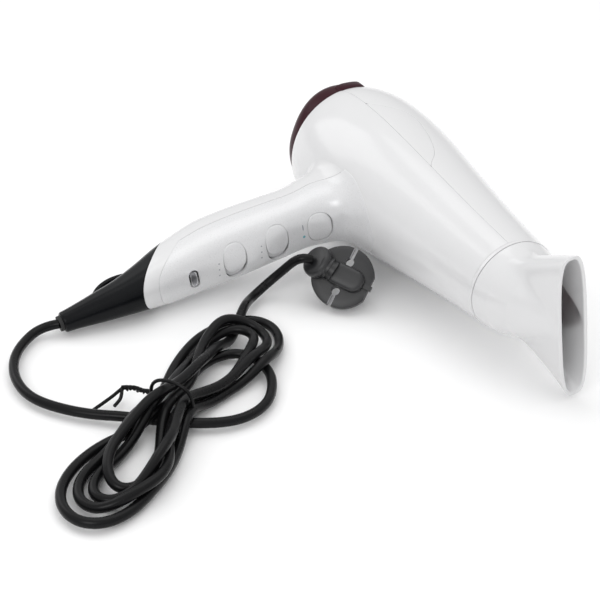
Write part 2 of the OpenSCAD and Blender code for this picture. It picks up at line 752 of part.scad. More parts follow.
module plug_boot() color([0.2, 0.2, 0.22]) on_plug() translate([0, 0, plug_thick + 4]) rotate([0, 0, boot_turn])
    difference() {
        rotate([0, 90, 0]) rotate_extrude() polygon([[0, 14], [7.6, 14], [7.6, 19], [5.2, 24], [4.6, boot_len], [0, boot_len]]);
        rotate([0, 90, 0]) translate([0, 0, boot_len - 8]) cylinder(h = 9, r = cord_d / 2);
    }

module plug_pins() color("silver") on_plug() for (s = [-1, 1]) translate([s * pin_pitch / 2, 0, 0]) {
    translate([0, 0, -pin_len + 1]) cylinder(h = pin_len - 1, r = pin_r);
    translate([0, 0, -0.1]) cylinder(h = 8.1, r = pin_root_r);
    translate([0, 0, -pin_len]) cylinder(h = 1.2, r = pin_r - 0.5);
}

module earth_clips() color("gold") on_plug() for (s = [-1, 1])
    translate([-2.2, s * (plug_r - 2.6) - 0.6, 0.5]) cube([4.4, 1.2, plug_thick - 1]);

upper_shell();
lower_shell();
grip_panel();
end_sleeve();
badge_ring();
rear_cover();
dust_filter();
air_duct();
duct_damper();
fan();
motor_shaft();
motor_bearings();
motor_can();
motor_magnets();
motor_mount();
diode_bridge();
mica_tube();
mica_cross();
heater_coils();
thermostat();
thermal_fuse();
outlet_neck();
outlet_grille();
nozzle_ring();
nozzle();
switch_board();
speed_cap();
speed_switch();
heat_cap();
heat_switch();
cool_button();
cool_spring();
cool_switch();
noise_filter();
cord_clamp();
clamp_screws();
shell_screws();
cord_bush();
inner_lead();
supply_leads();
heater_leads();
cord_lead_in();
cord_hank();
cord_lead_out();
twist_tie();
plug_base();
plug_boot();
plug_pins();
earth_clips();
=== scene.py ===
import json
import math

import bmesh
import bpy
import numpy as np
from mathutils import Matrix, Vector


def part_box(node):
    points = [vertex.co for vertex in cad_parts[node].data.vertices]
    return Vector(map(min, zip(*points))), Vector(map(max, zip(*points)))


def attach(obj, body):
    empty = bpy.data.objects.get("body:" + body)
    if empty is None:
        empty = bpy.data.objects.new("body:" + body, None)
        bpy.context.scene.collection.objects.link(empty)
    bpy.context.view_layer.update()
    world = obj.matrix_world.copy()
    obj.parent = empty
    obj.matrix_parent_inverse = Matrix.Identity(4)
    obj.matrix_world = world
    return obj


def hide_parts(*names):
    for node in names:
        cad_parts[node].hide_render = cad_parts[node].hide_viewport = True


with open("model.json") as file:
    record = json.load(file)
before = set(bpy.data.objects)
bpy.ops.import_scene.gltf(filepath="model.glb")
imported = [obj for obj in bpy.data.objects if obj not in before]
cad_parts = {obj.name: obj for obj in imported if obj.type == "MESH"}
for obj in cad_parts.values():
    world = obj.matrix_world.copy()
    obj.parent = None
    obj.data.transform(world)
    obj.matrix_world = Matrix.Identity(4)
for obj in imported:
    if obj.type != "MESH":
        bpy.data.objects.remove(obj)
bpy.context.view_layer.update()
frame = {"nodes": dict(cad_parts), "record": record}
mm = 0.001

# the dryer's own frame, in millimetres: barrel along X, handle along -Y, its two sides along Z
barrel = {"most": 46.0, "length": 187.0, "wall": 2.2, "cover": 22.0}
handle = {"reach": 225.0, "seam": 160.0, "tip": 6.0, "x": 50.0, "lean": 2.0, "slant": 43.0, "neck": 60.0,
          "band": 10.0, "wall": 1.9}
edgeTurn = np.radians([0, 25, 50, 70, 90])  # steps round every moulded edge

shaftLow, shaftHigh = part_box("motor_shaft")
coverLow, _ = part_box("rear_cover")
tilt = math.asin((barrel["most"] - handle["tip"]) / handle["reach"])
origin = np.array([coverLow[0] / mm + barrel["cover"], (shaftLow[1] + shaftHigh[1]) / 2 / mm,
                   (shaftLow[2] + shaftHigh[2]) / 2 / mm])
lean = math.radians(handle["lean"])
slope = math.tan(math.radians(handle["slant"]))


def lay(points):
    # dryer frame in millimetres to the shared frame in metres
    p = np.asarray(points, float)
    c, s = math.cos(tilt), math.sin(tilt)
    x, y, z = p[..., 0], p[..., 1], p[..., 2]
    return (np.stack([x, y * c - z * s, y * s + z * c], -1) + origin) * mm


def onHandle(points):
    # handle frame to dryer frame: x forwards, y up towards the barrel, z to the side
    p = np.asarray(points, float)
    c, s = math.cos(lean), math.sin(lean)
    return np.stack([handle["x"] + p[..., 0] * c - p[..., 1] * s, p[..., 0] * s + p[..., 1] * c, p[..., 2]], -1)


def smooth(t):
    t = np.clip(t, 0, 1)
    return t * t * (3 - 2 * t)


def through(keys, values, at):
    # smooth reading of a table: cubic between keys, with the slopes of its neighbours
    k, v, a = np.asarray(keys, float), np.asarray(values, float), np.asarray(at, float)
    step = np.diff(k)
    slopes = np.diff(v, axis=0) / (step[:, None] if v.ndim > 1 else step)
    m = np.concatenate([slopes[:1], (slopes[1:] + slopes[:-1]) / 2, slopes[-1:]])
    i = np.clip(np.searchsorted(k, a, side="right") - 1, 0, len(k) - 2)
    h = k[i + 1] - k[i]
    t = (a - k[i]) / h
    if v.ndim > 1:
        t, h = t[..., None], h[..., None]
    return ((1 + 2 * t) * (1 - t) ** 2 * v[i] + t * (1 - t) ** 2 * h * m[i]
            + t * t * (3 - 2 * t) * v[i + 1] + t * t * (t - 1) * h * m[i + 1])


def squared(wave, power):
    # a cosine or sine bent so that its circle becomes a rounded square, or the other way
    return np.sign(wave) * np.abs(wave) ** power


def bezier(a, b, c, d, t):
    return (1 - t) ** 3 * a + 3 * (1 - t) ** 2 * t * b + 3 * (1 - t) * t * t * c + t ** 3 * d


view = {"lens": 90, "turn": 61.64, "rise": 31.70, "roll": 2.35, "away": 862.24, "target": (8.9, -7.93, 20.0)}


def makeCamera():
    a, e, r = (math.radians(view[k]) for k in ("turn", "rise", "roll"))
    back = Vector((math.sin(a) * math.cos(e), -math.cos(a) * math.cos(e), math.sin(e)))
    side = Vector((math.cos(a), math.sin(a), 0))
    up = back.cross(side)
    sideR = side * math.cos(r) + up * math.sin(r)
    upR = up * math.cos(r) - side * math.sin(r)
    data = bpy.data.cameras.new("camera")
    data.lens, data.sensor_width = view["lens"], 36
    cam = bpy.data.objects.new("camera", data)
    bpy.context.scene.collection.objects.link(cam)
    turn = Matrix((sideR, upR, back)).transposed().to_4x4()
    cam.matrix_world = Matrix.Translation((Vector(view["target"]) + back * view["away"]) * mm) @ turn
    bpy.context.scene.camera = cam


makeCamera()
print("camera in place")


class Wire:
    # a socket that can be added, multiplied and so on
    def __init__(self, shade, socket):
        self.shade, self.socket = shade, socket

    def maths(self, kind, a, b):
        return self.shade.node("ShaderNodeMath", {"operation": kind}, {0: a, 1: b})

    def __add__(self, other):
        return self.maths("ADD", self, other)

    def __radd__(self, other):
        return self.maths("ADD", other, self)

    def __sub__(self, other):
        return self.maths("SUBTRACT", self, other)

    def __rsub__(self, other):
        return self.maths("SUBTRACT", other, self)

    def __mul__(self, other):
        return self.maths("MULTIPLY", self, other)

    def __rmul__(self, other):
        return self.maths("MULTIPLY", other, self)


def rgba(colour):
    return colour if isinstance(colour, Wire) else (*colour, 1.0)


class Shade:
    # one finish: node() adds any node, its settings first, then the values or links of its sockets
    def __init__(self, owner, shader="Principled BSDF"):
        owner.use_nodes = True
        self.owner, self.tree = owner, owner.node_tree
        self.surface = self.tree.nodes[shader]

    def node(self, kind, settings=None, sockets=None, out=0):
        made = self.tree.nodes.new(kind)
        for key, value in (settings or {}).items():
            if key == "stops":
                ramp = made.color_ramp
                while len(ramp.elements) < len(value):
                    ramp.elements.new(0.5)
                for element, (place, colour) in zip(ramp.elements, value):
                    element.position, element.color = place, (*colour, 1)
            else:
                setattr(made, key, value)
        for key, value in (sockets or {}).items():
            self.join(made.inputs[key], value)
        return Wire(self, made.outputs[out])

    def join(self, socket, value):
        if isinstance(value, Wire):
            self.tree.links.new(value.socket, socket)
        else:
            socket.default_value = value

    def set(self, **values):
        for key, value in values.items():
            self.join(self.surface.inputs[key.replace("_", " ")], value)

    def noise(self, scale, detail=3.0, rough=0.5, place=None):
        return self.node("ShaderNodeTexNoise", {}, {"Vector": place or self.place(), "Scale": scale,
                                                    "Detail": detail, "Roughness": rough})

    def place(self):
        return self.node("ShaderNodeTexCoord", {}, {}, "Object")

    def share(self, value, low, high):
        # 0 where the value is low or less, 1 where it is high or more
        return self.node("ShaderNodeMapRange", {"clamp": True}, {"Value": value, "From Min": low, "From Max": high})

    def mixColour(self, factor, a, b):
        return self.node("ShaderNodeMix", {"data_type": "RGBA"}, {0: factor, 6: rgba(a), 7: rgba(b)}, 2)

    def bump(self, height, strength, distance, under=None):
        sockets = {"Height": height, "Strength": strength, "Distance": distance}
        if under:
            sockets["Normal"] = under
        return self.node("ShaderNodeBump", {}, sockets)


def moulded(name, colour, rough=0.3, spread=0.05, grain=900.0, grainDeep=0.00002, tone=0.06, coat=0.0,
            metal=0.0, dust=0.0, shine=0.5):
    # moulded plastic: faint flow marks in its tone, a fine grain, smudges in its gloss and some dust
    s = Shade(bpy.data.materials.new(name))
    flow = s.noise(14.0, 4.0, 0.55)
    smudge = s.noise(55.0, 5.0, 0.6)
    fine = s.noise(grain, 2.0, 0.5)
    dark = tuple(c * (1 - tone) for c in colour)
    base = s.mixColour(s.share(flow, 0.35, 0.65), dark, colour)
    if dust:
        specks = s.share(s.noise(420.0, 2.0, 0.7), 0.68, 0.78)
        grey = tuple(min(1.0, c * 0.5 + 0.28) for c in colour)
        base = s.mixColour(specks * dust, base, grey)
    s.set(Base_Color=base, Roughness=smudge * spread * 2 + (rough - spread), Metallic=metal,
          Coat_Weight=coat, Coat_Roughness=0.06, Specular_IOR_Level=shine,
          Normal=s.bump(fine, 0.5, grainDeep, s.bump(flow, 0.25, 0.00006)))
    return s.owner


def metalFinish(name, colour, rough, brushed=0.0, stain=0.15):
    # plated or drawn metal with fine lines and a faint tarnish
    s = Shade(bpy.data.materials.new(name))
    place = s.node("ShaderNodeMapping", {}, {"Vector": s.place(), "Scale": (60.0, 1600.0, 1600.0)})
    lines = s.noise(1.0, 3.0, 0.6, place)
    cloud = s.noise(120.0, 4.0, 0.6)
    dull = tuple(c * (1 - stain) for c in colour)
    s.set(Base_Color=s.mixColour(s.share(cloud, 0.4, 0.7), colour, dull), Metallic=1.0,
          Roughness=cloud * 0.16 + (rough - 0.08), Normal=s.bump(lines, brushed, 0.00003))
    return s.owner


def pearlFinish():
    # pearly satin: bright flakes far finer than the eye sees singly, under a soft clear coat
    s = Shade(bpy.data.materials.new("pearlPanel"))
    flakes = s.node("ShaderNodeTexVoronoi", {"feature": "F1"}, {"Vector": s.place(), "Scale": 2600.0}, "Color")
    flow = s.noise(10.0, 3.0, 0.5)
    cool = s.mixColour(s.share(flow, 0.35, 0.65), (0.68, 0.682, 0.69), (0.715, 0.715, 0.72))
    glitter = s.node("ShaderNodeSeparateColor", {}, {0: flakes}, 0)
    base = s.mixColour(s.share(glitter, 0.55, 1.0) * 0.35, cool, (0.80, 0.80, 0.81))
    s.set(Base_Color=base, Metallic=0.04 + glitter * 0.08, Roughness=0.27 + glitter * 0.1,
          Coat_Weight=0.35, Coat_Roughness=0.12, Normal=s.bump(glitter, 0.06, 0.00002))
    return s.owner


def meshFinish():
    # woven filter gauze: two sets of wires
    s = Shade(bpy.data.materials.new("filterMesh"))
    gauze = {"Vector": s.place(), "Scale": 420.0, "Distortion": 0.4}
    wires = s.node("ShaderNodeTexWave", {"wave_type": "BANDS", "bands_direction": "Y"}, gauze, "Fac")
    cross = s.node("ShaderNodeTexWave", {"wave_type": "BANDS", "bands_direction": "Z"}, gauze, "Fac")
    weave = wires * cross
    s.set(Base_Color=s.mixColour(weave, (0.01, 0.01, 0.01), (0.16, 0.16, 0.16)),
          Roughness=0.75 - weave * 0.3, Normal=s.bump(weave, 0.7, 0.0003))
    return s.owner


finish = {
    "white_gloss": moulded("whiteGloss", (0.70, 0.70, 0.705), 0.20, 0.03, 1500.0, 0.000006, 0.02, 0.3),
    "pearl_panel": pearlFinish(),
    "black_gloss": moulded("blackGloss", (0.004, 0.0046, 0.0058), 0.25, 0.05, 1200.0, 0.00001, 0.2, dust=0.02,
                           shine=0.15),
    "burgundy": moulded("burgundy", (0.034, 0.005, 0.010), 0.3, 0.06, 1100.0, 0.00001, 0.25, shine=0.1),
    "bright_metal": metalFinish("brightMetal", (0.86, 0.86, 0.88), 0.14, 0.1, 0.08),
    "filter_mesh": meshFinish(),
    "grey_plastic": moulded("greyPlastic", (0.30, 0.30, 0.32), 0.5, 0.08, dust=0.3),
    "damper_rubber": moulded("damperRubber", (0.03, 0.03, 0.03), 0.8, 0.08, 500.0, 0.00008, 0.3, dust=0.3),
    "fan_plastic": moulded("fanPlastic", (0.68, 0.67, 0.60), 0.42, 0.06, tone=0.1, dust=0.2),
    "steel": metalFinish("steel", (0.58, 0.58, 0.60), 0.34, 0.35),
    "bronze": metalFinish("bronze", (0.66, 0.44, 0.20), 0.36, 0.25),
    "magnet": moulded("magnet", (0.10, 0.10, 0.11), 0.62, 0.08, 700.0, 0.00006, 0.25),
    "black_parts": moulded("blackParts", (0.03, 0.03, 0.032), 0.48, 0.08, dust=0.2),
    "mica": moulded("mica", (0.60, 0.50, 0.32), 0.35, 0.1, 300.0, 0.00006, 0.3),
    "heater_wire": metalFinish("heaterWire", (0.30, 0.27, 0.25), 0.5, 0.3, 0.4),
    "brown_resin": moulded("brownResin", (0.25, 0.12, 0.05), 0.4, 0.08, tone=0.2),
    "board_green": moulded("boardGreen", (0.04, 0.20, 0.09), 0.35, 0.08, 260.0, 0.00003, 0.25),
    "filter_blue": moulded("filterBlue", (0.06, 0.14, 0.45), 0.3, 0.05, 120.0, 0.0001, 0.15),
    "lead_brown": moulded("leadBrown", (0.20, 0.09, 0.04), 0.5, 0.06),
    "lead_red": moulded("leadRed", (0.48, 0.05, 0.04), 0.5, 0.06),
    "cord_black": moulded("cordBlack", (0.0055, 0.0055, 0.006), 0.28, 0.06, 700.0, 0.00003, 0.25, dust=0.03,
                          shine=0.16),
    "plug_black": moulded("plugBlack", (0.012, 0.0122, 0.0135), 0.42, 0.06, 800.0, 0.00004, 0.18, dust=0.04,
                          shine=0.6),
}
inkGrey = moulded("inkGrey", (0.33, 0.34, 0.37), 0.45, 0.05)
inkBlue = moulded("inkBlue", (0.16, 0.42, 0.48), 0.45, 0.05)
outletRed = moulded("outletRed", (0.34, 0.16, 0.19), 0.4, 0.06, tone=0.2)
badgeGrey = metalFinish("badgeGrey", (0.36, 0.36, 0.38), 0.3, 0.2)
print("materials made:", len(bpy.data.materials))


def addMesh(name, points, faces, slot, body, material=None, sharp=40.0):
    mesh = bpy.data.meshes.new(name)
    mesh.from_pydata([tuple(p) for p in points], [], faces)
    bm = bmesh.new()
    bm.from_mesh(mesh)
    bmesh.ops.remove_doubles(bm, verts=bm.verts, dist=0.000004)
    bmesh.ops.recalc_face_normals(bm, faces=bm.faces)
    bm.to_mesh(mesh)
    bm.free()
    mesh.shade_smooth()
    mesh.set_sharp_from_angle(angle=math.radians(sharp))
    piece = bpy.data.objects.new(name, mesh)
    bpy.context.scene.collection.objects.link(piece)
    piece.data.materials.append(material or finish[slot])
    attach(piece, body)
    return piece


def gridFaces(rows, columns, closedRows=False, closedColumns=False):
    faces = []
    for i in range(rows if closedRows else rows - 1):
        for j in range(columns if closedColumns else columns - 1):
            a, b = i, (i + 1) % rows
            c, d = j, (j + 1) % columns
            faces.append([a * columns + c, b * columns + c, b * columns + d, a * columns + d])
    return faces


def joined(parts):
    # several (points, faces) lists as one
    points, faces = [], []
    for p, f in parts:
        faces += [[v + len(points) for v in face] for face in f]
        points += [tuple(q) for q in np.asarray(p).reshape(-1, 3)]
    return points, faces


def gridPart(points, closedRows=False, closedColumns=False):
    rows, columns = points.shape[:2]
    return points.reshape(-1, 3), gridFaces(rows, columns, closedRows, closedColumns)


def cutWith(piece, cutters):
    # takes the cutters' shapes out of a piece for good
    for cutter in cutters:
        change = piece.modifiers.new("cut", "BOOLEAN")
        change.operation, change.solver, change.object = "DIFFERENCE", "EXACT", cutter
    graph = bpy.context.evaluated_depsgraph_get()
    mesh = bpy.data.meshes.new_from_object(piece.evaluated_get(graph))
    piece.modifiers.clear()
    piece.data = mesh
    mesh.shade_smooth()
    mesh.set_sharp_from_angle(angle=math.radians(32))
    for cutter in cutters:
        bpy.data.objects.remove(cutter)


def plainMesh(name, points, faces):
    mesh = bpy.data.meshes.new(name)
    mesh.from_pydata([tuple(p) for p in points], [], faces)
    bm = bmesh.new()
    bm.from_mesh(mesh)
    bmesh.ops.recalc_face_normals(bm, faces=bm.faces)
    bm.to_mesh(mesh)
    bm.free()
    made = bpy.data.objects.new(name, mesh)
    bpy.context.scene.collection.objects.link(made)
    return made


def tube(path, radius, sides=12, up=(0, 0, 1)):
    # rings swept along a path; radius may change along it
    p = np.asarray(path, float)
    r = np.broadcast_to(np.asarray(radius, float), (len(p),))
    t = np.gradient(p, axis=0)
    t /= np.linalg.norm(t, axis=1)[:, None]
    a = np.cross(t, np.asarray(up, float))
    a /= np.linalg.norm(a, axis=1)[:, None]
    b = np.cross(a, t)
    w = np.linspace(0, 2 * np.pi, sides, endpoint=False)
    rings = p[:, None] + r[:, None, None] * (np.cos(w)[None, :, None] * a[:, None]
                                             + np.sin(w)[None, :, None] * b[:, None])
    points, faces = gridPart(rings, False, True)
    faces += [list(range(sides)), [len(points) - 1 - k for k in range(sides)]]
    return points, faces


# diameter is the room that each strand takes in the bundle, radius the lead's own
lead = {"diameter": 6.4, "radius": 2.8, "spacing": 2.5, "stride": 5, "rounds": 600, "stiff": 0.04,
        "hold": (0.045, 0.045, 0.004), "sink": 0.10, "tie": (58.0, -109.0), "along": (0.60, -0.80), "lift": 6.4}

# the route from the sleeve under the bundle, and from the bundle up to the plug
leadIn = [(-44, -135, 6), (-46, -145, 4.2), (-42, -154, 3.3), (-34, -163, 3.3), (-23, -170, 3.3), (-10, -174, 3.3),
          (4, -175, 3.3), (17, -172, 3.3), (28, -164, 3.3), (38, -154, 3.3), (46, -143, 3.3), (54, -132, 3.3),
          (62, -120, 3.3), (70, -107, 3.3), (77, -93, 3.3), (80, -79, 3.3), (77, -65, 3.3), (68, -54, 3.3),
          (55, -47, 3.3), (46, -44, 3.3), (37, -44, 3.3)]
leadOut = [(-18, 13, 28), (-20, 8, 30), (-25, 4, 28), (-30, 0, 23), (-33, -5, 17), (-33, -11, 12), (-30, -18, 8),
           (-25, -25, 5)]
# bends of the hank as (x, y), each with the height it starts from before it settles
lowerBends = [
    (4, [(66, -138), (71, -156), (81, -173), (95, -185), (109, -189), (122, -186), (129, -177), (128, -165),
         (119, -149), (105, -131)]),
    (7, [(76, -148), (87, -169), (98, -178), (110, -180), (119, -174), (122, -163), (118, -148), (106, -132)]),
    (10, [(78, -142), (88, -159), (98, -170), (108, -173), (115, -168), (117, -157), (112, -143), (99, -126)]),
    (17, [(96, -132), (108, -143), (113, -153), (108, -161), (97, -162), (86, -157), (77, -148), (68, -133)])]
upperBends = [
    (4, [(54, -77), (44, -56), (35, -38), (22, -26), (8, -21), (-4, -24), (-10, -34), (-9, -50), (1, -72)]),
    (9, [(49, -78), (37, -56), (25, -42), (13, -37), (4, -43), (2, -56), (10, -74), (24, -88)]),
    (13, [(54, -76), (40, -52), (28, -36), (14, -30), (3, -36), (0, -50), (12, -70), (40, -88)])]
# where each strand passes through the tie, in lead diameters: across it, and its layer
tieOrder = [(-0.5, 0), (1.5, 0), (-1.5, 0), (0.5, 0), (-1, 1), (1, 1), (0, 1), (-0.5, 2)]
entry = [(27, -46, 4), (18, -53, 5), (17, -65, 6), (25, -79, 8), (38, -93, 10)]
away = [(46, -96, 23), (35, -82, 18), (24, -69, 14), (12, -57, 11), (1, -46, 8), (-10, -35, 6), (-18, -30, 5)]


def tiePoint(across, level):
    along = np.array(lead["along"])
    at = np.array(lead["tie"]) + np.array([-along[1], along[0]]) * across * lead["diameter"]
    return [(at[0], at[1], lead["lift"] + lead["diameter"] * (0.5 + level * 0.9))]


def hankPath():
    route = leadIn[:-1] + entry
    for k, place in enumerate(tieOrder):
        route = route + tiePoint(*place)
        if k < len(tieOrder) - 1:
            high, bend = (lowerBends if k % 2 == 0 else upperBends)[k // 2]
            route = route + [(x, y, high) for x, y in bend]
    return route + away + leadOut[::-1]


def evenly(points, spacing):
    # a smooth line through the points, read at even steps
    p = np.asarray(points, float)
    key = np.concatenate([[0], np.cumsum(np.sqrt(np.linalg.norm(np.diff(p, axis=0), axis=1)))])
    fine = through(key, p, np.linspace(0, key[-1], len(p) * 24))
    run = np.concatenate([[0], np.cumsum(np.linalg.norm(np.diff(fine, axis=0), axis=1))])
    count = int(run[-1] / spacing)
    at = np.linspace(0, run[-1], count)
    return np.stack([np.interp(at, run, fine[:, k]) for k in range(3)], -1)


def curveBasis(count, stride):
    # cubic spline weights: samples along the lead from a control point every few samples
    controls = (count - 1) // stride + 4
    weights = np.zeros((count, controls))
    for k in range(count):
        u = k / stride
        first, t = int(u), u - int(u)
        weights[k, first:first + 4] = [(1 - t) ** 3 / 6, (3 * t ** 3 - 6 * t * t + 4) / 6,
                                       (-3 * t ** 3 + 3 * t * t + 3 * t + 1) / 6, t ** 3 / 6]
    return weights


def settle(path):
    # strands push each other apart, bend stiffly and sink on to the surface
    d = lead["diameter"]
    n = len(path)
    weights = curveBasis(n, lead["stride"])
    spread = weights / weights.sum(0)
    controls = np.linalg.lstsq(weights, path, rcond=None)[0]
    home = controls.copy()
    i, j = np.triu_indices(n, int(2.2 * d / lead["spacing"]) + 2)
    for count in range(lead["rounds"]):
        p = weights @ controls
        if count % 10 == 0:
            close = np.linalg.norm(p[i] - p[j], axis=1) < 2.2 * d
            ci, cj = i[close], j[close]
        gap = p[ci] - p[cj]
        far = np.linalg.norm(gap, axis=1)
        near = far < d * 1.015
        push = np.zeros_like(p)
        if near.any():
            g, f = gap[near], np.maximum(far[near], 1e-6)[:, None]
            move = g / f * (d * 1.015 - f) * 0.4 * np.array([1, 1, 1.4])
            np.add.at(push, ci[near], move)
            np.add.at(push, cj[near], -move)
        lift = np.zeros_like(p)
        lift[:, 2] = np.maximum(d / 2 + 0.05 - p[:, 2], 0) * 1.2
        bend = np.zeros_like(controls)
        bend[1:-1] = (controls[2:] + controls[:-2]) / 2 - controls[1:-1]
        step = spread.T @ (np.clip(push, -1.5, 1.5) + lift) * 1.8 + lead["stiff"] * bend
        step += (home - controls) * np.array(lead["hold"])
        step[:, 2] -= lead["sink"]
        step[:3] = step[-3:] = 0
        controls = controls + step
    p = weights @ controls
    p[:, 2] = np.maximum(p[:, 2], d / 2 + 0.03)
    return p


leadPath = settle(evenly(hankPath(), lead["spacing"]))


def makeCurve(name, points, radius, slot, body):
    data = bpy.data.curves.new(name, "CURVE")
    data.dimensions = "3D"
    data.bevel_depth, data.bevel_resolution, data.use_fill_caps = radius * mm, 6, True
    line = data.splines.new("POLY")
    line.points.add(len(points) - 1)
    for point, at in zip(line.points, points):
        point.co = (*(np.asarray(at) * mm), 1)
    line.use_smooth = True
    piece = bpy.data.objects.new(name, data)
    bpy.context.scene.collection.objects.link(piece)
    data.materials.append(finish[slot])
    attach(piece, body)
    return piece


mainsLead = makeCurve("mainsLead", leadPath, lead["radius"], "cord_black", "housing")
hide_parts("cord_lead_in", "cord_hank", "cord_lead_out")


profile = np.array([[42, 0], [44.4, 8], [46, 17.95], [46, 29.92], [46, 71.06], [36.2, 102.85], [27.2, 187]])
steps = np.linspace(0, 1, 60)[:, None]
outline = np.concatenate([bezier(*profile[:4], steps), bezier(*profile[3:], steps)[1:]])


def barrelRadius(x):
    return np.interp(x, outline[:, 1], outline[:, 0])


panelEdge = {"round": 0.2, "gap": 0.05}


def edgeSteps(count, long, rounded=True):
    # shares across a panel that long in mm, closer at its rounded edges, and how deep each lies
    if not rounded:
        return np.linspace(0, 1, count), np.zeros(count)
    inset = panelEdge["gap"] + panelEdge["round"] * (1 - np.cos(edgeTurn))
    drop = panelEdge["round"] * (1 - np.sin(edgeTurn))
    low, high = inset / long, 1 - inset[::-1] / long
    share = np.concatenate([low, np.linspace(low[-1], high[0], count)[1:-1], high])
    return share, np.concatenate([drop, np.zeros(count - 2), drop[::-1]])


def panelSolid(surface, countU, countV, longU, longV, wall, roundSides=True):
    # a wall between the surface and one below it, closed at its edges
    u, du = edgeSteps(countU, longU)
    v, dv = edgeSteps(countV, longV, roundSides)
    off = np.minimum(du[:, None] + dv, panelEdge["round"])
    u, v = np.broadcast_arrays(u[:, None], v)
    outer, inner = surface(u, v, off), surface(u, v, np.full_like(off, wall))
    ring = np.concatenate([outer, inner[:, ::-1]], axis=1)
    points, faces = gridPart(ring, False, True)
    n, m = outer.shape[1], ring.shape[1]
    last = (len(ring) - 1) * m
    for k in range(n - 1):
        faces.append([k, k + 1, m - 2 - k, m - 1 - k])
        faces.append([last + k, last + k + 1, last + m - 2 - k, last + m - 1 - k])
    return points, faces


def leafEdge(x):
    # angle from the top at which the leaf-shaped inlay starts
    keys = [20, 30, 40, 52, 73, 91, 98, 107.5, 118]
    return np.minimum(through(keys, [90, 90, 80, 66, 66, 73, 78, 90, 90], np.clip(x, 20, 118)), 90)


def barrelSurface(low, high):
    def surface(u, v, off):
        x = u * barrel["length"]
        a = np.radians(low(x) + v * (high(x) - low(x)))
        r = barrelRadius(x) - off
        return np.stack([x, r * np.cos(a), r * np.sin(a)], -1)
    return surface


leaf = {"from": 32, "to": 106.6}  # where the inlay is a mm or more wide


def leafSurface(side):
    def surface(u, v, off):
        x = leaf["from"] + u * (leaf["to"] - leaf["from"])
        low = leafEdge(x)
        a = np.radians(low + v * (90 - low)) * side
        r = barrelRadius(x) - off
        return np.stack([x, r * np.cos(a), r * np.sin(a)], -1)
    return surface


def makeBarrel():
    upper = panelSolid(barrelSurface(lambda x: -leafEdge(x), leafEdge), 150, 90, barrel["length"], 130,
                       barrel["wall"])
    leaves = [panelSolid(leafSurface(side), 70, 16, 72, 15, barrel["wall"]) for side in (1, -1)]
    lower = panelSolid(barrelSurface(lambda x: 90 + 0 * x, lambda x: 270 + 0 * x), 110, 90, barrel["length"], 140,
                       barrel["wall"])
    top = addMesh("upperShell", lay(upper[0]), upper[1], "white_gloss", "housing")
    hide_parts("upper_shell")
    for k, (points, faces) in enumerate(leaves):
        addMesh("leafInlay%d" % k, lay(points), faces, "white_gloss", "housing")
    return addMesh("lowerShell", lay(lower[0]), lower[1], "white_gloss", "housing")


lowerShell = makeBarrel()
print("barrel made")


def block(low, high):
    x, y, z = zip(low, high)
    points = [(x[i], y[j], z[k]) for i in (0, 1) for j in (0, 1) for k in (0, 1)]
    return points, [[0, 1, 3, 2], [4, 6, 7, 5], [0, 4, 5, 1], [2, 3, 7, 6], [0, 2, 6, 4], [1, 5, 7, 3]]


cover = {"radius": 38.6, "wing": 3.4, "depth": 21.8, "square": 3.8, "wall": 2.0, "wingAt": 104.0, "wingWide": 50.0}


def coverPoint(x, a, off):
    # squared dome, fuller at its two sides where fingers pull it off
    share = np.clip(1 - np.abs(np.abs((a + 180) % 360 - 180) - cover["wingAt"]) / cover["wingWide"], 0, 1)
    full = cover["radius"] + cover["wing"] * smooth(share) - off
    r = full * np.maximum(1 - (-x / (cover["depth"] - off)) ** cover["square"], 0) ** (1 / cover["square"])
    return np.stack([x + 0 * a, r * np.cos(np.radians(a)), r * np.sin(np.radians(a))], -1)


def makeCover():
    a = np.linspace(0, 360, 180, endpoint=False)
    share = np.sin(np.linspace(0, math.pi / 2, 44))
    deep = cover["depth"] - cover["wall"]
    rows = [coverPoint(-t * cover["depth"], a, 0) for t in share[::-1]]
    rows += [np.stack([x + 0 * a, r * np.cos(np.radians(a)), r * np.sin(np.radians(a))], -1)
             for r, x in ((38.4, 0.3), (38.4, 6.0), (36.6, 6.0))]
    rows += [coverPoint(-t * deep, a, cover["wall"]) for t in share]
    points, faces = gridPart(np.stack(rows), False, True)
    piece = addMesh("rearCover", lay(points), faces, "burgundy", "intake", sharp=50)
    boxes = []
    for ring, (radius, count) in enumerate(((9, 8), (16, 14), (23, 20), (30, 26))):
        for k in range(count):
            turn = 2 * math.pi * (k + 0.5 * (ring % 2)) / count
            p, f = block((-23, -2.1, radius - 1.1), (-6, 2.1, radius + 1.1))
            p = np.array(p, float)
            y = p[:, 1] * math.cos(turn) - p[:, 2] * math.sin(turn)
            z = p[:, 1] * math.sin(turn) + p[:, 2] * math.cos(turn)
            boxes.append((np.stack([p[:, 0], y, z], -1), f))
    points, faces = joined(boxes)
    cutWith(piece, [plainMesh("cutSlots", lay(points), faces)])
    for side in (-1, 1):
        # raised latch where the cover meets the parting line
        w = np.linspace(0, 1, 13)
        rows = []
        for x, lift in ((-7.5, -0.6), (-7.2, 0.6), (-6.4, 1.0), (0.6, 1.0), (1.2, 0.7), (1.4, -0.6)):
            a = np.radians(80 + 26 * (w - 0.5)) * side
            fall = 1.2 * np.abs(2 * w - 1) ** 6
            r = 42.0 + lift - fall
            rows.append(np.stack([0 * a + x, r * np.cos(a), r * np.sin(a)], -1))
        points, faces = gridPart(np.stack(rows))
        addMesh("latch%d" % (side + 1), lay(points), faces, "burgundy", "intake")
    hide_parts("rear_cover")


makeCover()
print("rear cover made")


